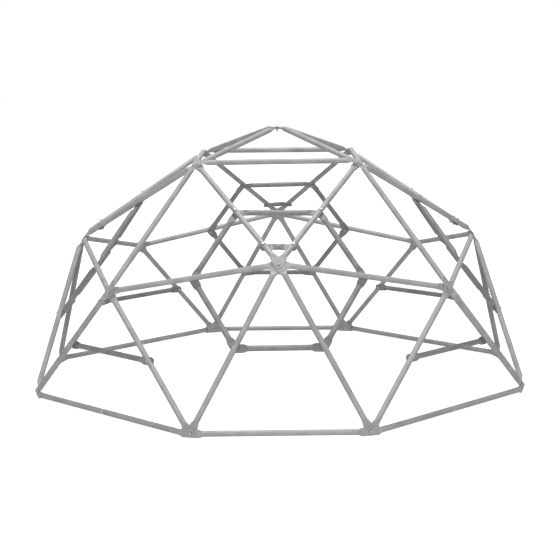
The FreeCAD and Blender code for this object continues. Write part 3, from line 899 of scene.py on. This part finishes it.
def ringShell(name, rows, around, smoothRows=(), insertRows=()):
    # a closed shell from rows of (radius, z) given for each turn; the first and last rows are capped
    build = bmesh.new()
    isInsert = build.faces.layers.int.new("insert")
    turns = [2 * math.pi * step / around for step in range(around)]
    loops = []
    for row in rows:
        loop = []
        for turn in turns:
            radius, z = row(turn)
            loop.append(build.verts.new((radius * math.cos(turn), radius * math.sin(turn), z)))
        loops.append(loop)
    for index, (lower, upper) in enumerate(zip(loops, loops[1:])):
        for step in range(around):
            after = (step + 1) % around
            face = build.faces.new((lower[step], lower[after], upper[after], upper[step]))
            face.smooth = index in smoothRows
            face[isInsert] = index in insertRows
    build.faces.new(list(reversed(loops[0])))
    build.faces.new(loops[-1])
    bmesh.ops.recalc_face_normals(build, faces=build.faces)
    mesh = bpy.data.meshes.new(name)
    build.to_mesh(mesh)
    build.free()
    return mesh


def makeBoltMesh(name, length, sizes):
    flats, height = sizes["acrossFlats"], sizes["headHeight"]
    topRadius = flats / 2 * sizes["flatTop"]
    shank = boltSizes["shankRadius"]
    pitch, depth, tail = sizes["threadPitch"], sizes["threadDepth"], sizes["threadedTail"]
    rowsPerPitch = sizes["rowsPerPitch"]
    washerRadius = flats / 2 * sizes["washerShare"]
    tip = [lambda turn: (shank * sizes["tipShare"], -length), lambda turn: (shank - depth, -length + depth)]

    def threadRow(z):
        def row(turn):
            phase = ((z + length) / pitch - turn / (2 * math.pi)) % 1
            return shank - depth * abs(2 * phase - 1), z
        return row
    count = int((tail - pitch) / pitch * rowsPerPitch)
    thread = [threadRow(-length + pitch / 2 + pitch * step / rowsPerPitch) for step in range(count)]
    head = [
        lambda turn: (shank, -length + tail),
        lambda turn: (shank, 0.0),
        lambda turn: (washerRadius, 0.0),
        lambda turn: (washerRadius, sizes["washerFace"]),
        lambda turn: (hexRadius(turn, flats), sizes["washerFace"]),
        lambda turn: (hexRadius(turn, flats),
                      height - (hexRadius(turn, flats) - topRadius) * math.tan(sizes["chamfer"])),
        lambda turn: (topRadius, height),
    ]
    rows = tip + thread + head
    return ringShell(name, rows, sizes["pointsAround"], smoothRows=range(1, len(tip) + len(thread)))


def makeNutMesh(name, sizes):
    flats, height = sizes["acrossFlats"], sizes["nutHeight"]
    body = height - sizes["collarHeight"]
    topRadius = flats / 2 * sizes["flatTop"]
    collar, insert, shank = sizes["collarRadius"], sizes["insertRadius"], boltSizes["shankRadius"]

    def chamfered(z, side):
        return lambda turn: (hexRadius(turn, flats),
                             z - side * (hexRadius(turn, flats) - topRadius) * math.tan(sizes["chamfer"]))
    rows = [
        lambda turn: (shank * sizes["nutBoreShare"], 0.0),
        lambda turn: (topRadius, 0.0),
        chamfered(0.0, 1),
        chamfered(-body, -1),
        lambda turn: (topRadius, -body),
        lambda turn: (collar, -body),
        lambda turn: (collar, -height + sizes["collarRoll"]),
        lambda turn: (collar * sizes["collarTopShare"], -height),
        lambda turn: (insert, -height + sizes["insertSunk"]),
        lambda turn: (insert * sizes["insertTopShare"], -height + sizes["insertTop"]),
        lambda turn: (shank * sizes["insertBoreShare"], -height + sizes["insertBore"]),
    ]
    insertRow = len(rows) - 2
    return ringShell(name, rows, sizes["pointsAround"], insertRows=(insertRow,))


def makeRepeatTree():
    # one shape at every point of a mesh, its Z along the point's outward direction
    tree = bpy.data.node_groups.new("repeated fastener", "GeometryNodeTree")
    tree.interface.new_socket("Places", in_out="INPUT", socket_type="NodeSocketGeometry")
    tree.interface.new_socket("Shape", in_out="INPUT", socket_type="NodeSocketObject")
    tree.interface.new_socket("Metal", in_out="INPUT", socket_type="NodeSocketMaterial")
    tree.interface.new_socket("Insert", in_out="INPUT", socket_type="NodeSocketMaterial")
    tree.interface.new_socket("Fasteners", in_out="OUTPUT", socket_type="NodeSocketGeometry")
    given = addNode(tree, "NodeGroupInput")
    outward = addNode(tree, "GeometryNodeInputNamedAttribute", {"Name": "outward"}, data_type="FLOAT_VECTOR")
    spin = addNode(tree, "GeometryNodeInputNamedAttribute", {"Name": "spin"}, data_type="FLOAT")
    upright = addNode(tree, "FunctionNodeAlignRotationToVector", {"Vector": outward.outputs[0]}, axis="Z")
    turned = addNode(tree, "FunctionNodeAxisAngleToRotation", {"Axis": (0, 0, 1), "Angle": spin.outputs[0]})
    stood = addNode(tree, "FunctionNodeRotateRotation", {0: upright.outputs[0], 1: turned.outputs[0]},
                    rotation_space="LOCAL")
    shape = addNode(tree, "GeometryNodeObjectInfo", {"Object": given.outputs["Shape"]})
    placed = addNode(tree, "GeometryNodeInstanceOnPoints", {"Points": given.outputs["Places"],
                                                            "Instance": shape.outputs["Geometry"],
                                                            "Rotation": stood.outputs[0]})
    real = addNode(tree, "GeometryNodeRealizeInstances", {"Geometry": placed.outputs[0]})
    isInsert = addNode(tree, "GeometryNodeInputNamedAttribute", {"Name": "insert"}, data_type="INT")
    metal = addNode(tree, "GeometryNodeSetMaterial", {"Geometry": real.outputs[0],
                                                      "Material": given.outputs["Metal"]})
    both = addNode(tree, "GeometryNodeSetMaterial", {"Geometry": metal.outputs[0],
                                                     "Selection": isInsert.outputs[0],
                                                     "Material": given.outputs["Insert"]})
    addNode(tree, "NodeGroupOutput", {0: both.outputs[0]})
    return tree


def makeFasteners(name, shapeMesh, places, metal, insert):
    # places holds (point, outward direction); the seeded spin leaves no two heads alike
    points = bpy.data.meshes.new(f"{name} places")
    points.from_pydata([tuple(point) for point, _ in places], [], [])
    points.attributes.new("outward", "FLOAT_VECTOR", "POINT")
    points.attributes.new("spin", "FLOAT", "POINT")
    points.attributes["outward"].data.foreach_set("vector", np.array([out for _, out in places]).ravel())
    turns = np.random.default_rng(len(places)).uniform(0, math.pi / 3, len(places))
    points.attributes["spin"].data.foreach_set("value", turns)
    shape = bpy.data.objects.new(f"{name} shape", shapeMesh)
    bpy.context.collection.objects.link(shape)
    mesh = plainMesh(repeatTree, {"Shape": shape, "Metal": metal, "Insert": insert}, points)
    bpy.data.objects.remove(shape)
    for helper in ("outward", "spin", "insert"):
        if helper in mesh.attributes:
            mesh.attributes.remove(mesh.attributes[helper])
    mesh.name = name
    addPiece(f"{name}_detailed", mesh, "zinc_plate", name)


def nutPlaces(allBolts):
    # a nut's upper face, on the axis of the bolt that it holds
    for points in islands(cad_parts["lock_nuts"]):
        middle = points.mean(axis=0)

        def tipDistance(bolt):
            return np.linalg.norm(middle - bolt["seat"] + bolt["out"] * bolt["length"])
        bolt = min(allBolts, key=tipDistance)
        top = ((points - bolt["seat"]) @ bolt["out"]).max()
        yield bolt["seat"] + bolt["out"] * top, bolt["out"]


repeatTree = makeRepeatTree()
allBolts = []
for name in ("joint_bolts", "tube_bolts", "splice_bolts"):
    found = [readBolt(points) for points in islands(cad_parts[name])]
    shapeMesh = makeBoltMesh(name, found[0]["length"], fastenerSizes)
    makeFasteners(name, shapeMesh, [(bolt["seat"], bolt["out"]) for bolt in found], zinc, nylon)
    allBolts += found
makeFasteners("lock_nuts", makeNutMesh("lock_nut", fastenerSizes), list(nutPlaces(allBolts)), zinc, nylon)
print("fasteners made:", len(allBolts), "bolts and as many nuts")
